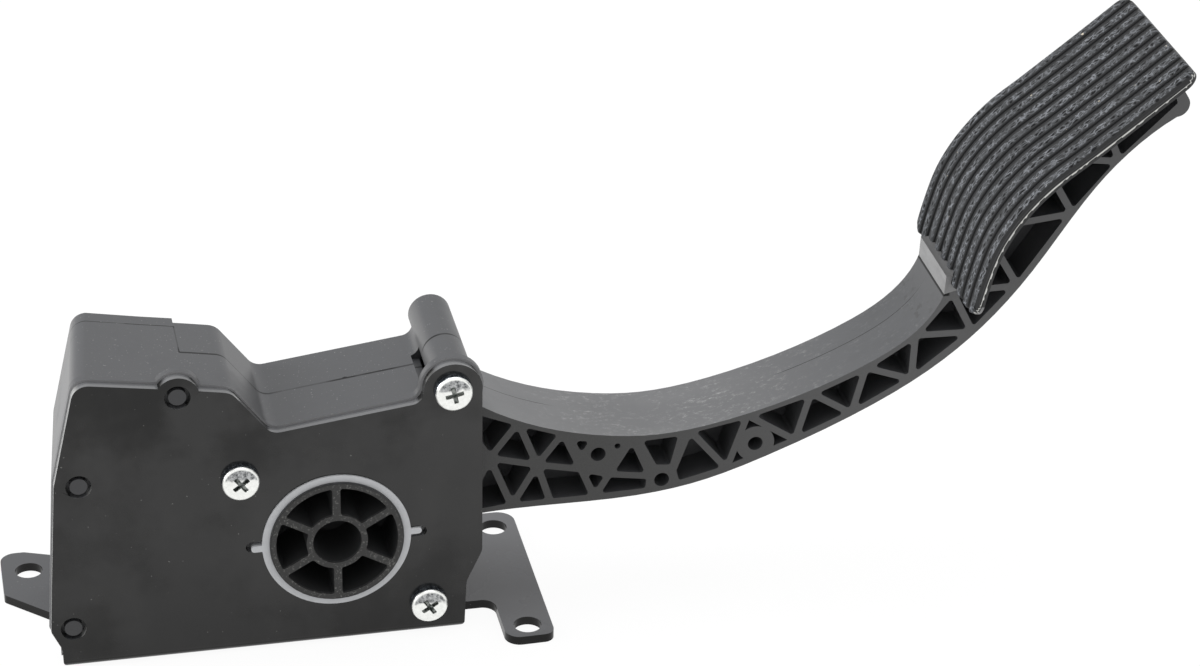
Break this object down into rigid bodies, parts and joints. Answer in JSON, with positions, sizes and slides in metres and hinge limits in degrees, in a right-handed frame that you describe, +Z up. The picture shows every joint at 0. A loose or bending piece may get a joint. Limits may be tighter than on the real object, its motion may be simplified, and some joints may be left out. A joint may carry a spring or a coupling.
{
  "type": "accelerator pedal",
  "caption": "Floor-mounted electronic accelerator pedal with a truss-ribbed arm, ribbed foot pad, spoked pivot hub, return springs and a sensor in a plastic housing on a bent steel bracket.",
  "frame": {"origin": "on the mounting face under the bracket's floor plate, straight below the pivot's axis, in the middle of the arm's width", "axes": "+X from the housing towards the foot pad, +Y away from the bracket's upright flange, +Z up out of the mounting face"},
  "size_m": [0.3776, 0.0801, 0.1839],
  "materials": {
    "bracket_steel": "black gloss coat with smudges",
    "housing_plastic": "black, fine moulded grain",
    "bearing_plastic": "light grey, smooth",
    "arm_plastic": "black glass-filled plastic, satin, scuffed",
    "carrier_plastic": "dark grey, satin",
    "tread_rubber": "black, speckled wear on the ridges",
    "spring_steel": "oil-hardened wire",
    "lining_plastic": "brown friction lining",
    "rotor_metal": "stamped sheet",
    "board_laminate": "green solder mask",
    "chip_plastic": "black moulded packages",
    "pin_brass": "tinned contact pins",
    "zinc_steel": "bright zinc plate"
  },
  "bodies": {
    "frame": {"bracket": "bracket_steel", "housing_body": "housing_plastic", "housing_cover": "housing_plastic", "near_bearing_ring": "bearing_plastic", "far_bearing_ring": "bearing_plastic", "outer_return_spring": "spring_steel", "inner_return_spring": "spring_steel", "spring_cap": "bearing_plastic", "friction_lining": "lining_plastic", "idle_stop": "tread_rubber", "full_travel_stop": "tread_rubber", "sensor_board": "board_laminate", "sensor_chips": "chip_plastic", "sensor_seal": "tread_rubber", "sensor_cover": "housing_plastic", "connector_pins": "pin_brass", "housing_screw_upper": "zinc_steel", "housing_screw_left": "zinc_steel", "housing_screw_lower": "zinc_steel", "cover_screw_1": "zinc_steel", "cover_screw_2": "zinc_steel", "cover_screw_3": "zinc_steel", "cover_screw_4": "zinc_steel", "sensor_screw_1": "zinc_steel", "sensor_screw_2": "zinc_steel", "sensor_screw_3": "zinc_steel"},
    "pedal": {"pedal_arm": "arm_plastic", "pad_carrier": "carrier_plastic", "pad_tread": "tread_rubber", "friction_shoe": "bearing_plastic", "spring_seat": "bearing_plastic", "sensor_rotor": "rotor_metal"}
  },
  "joints": [
    {"name": "pedal_pivot", "type": "hinge", "parent": "frame", "child": "pedal", "pos_m": [0, 0, 0.0385], "axis": [0, 1, 0], "range_deg": [0, 16], "stiffness_Nm_per_rad": 5, "springref_deg": -25.78, "deforming": ["outer_return_spring", "inner_return_spring"]}
  ]
}
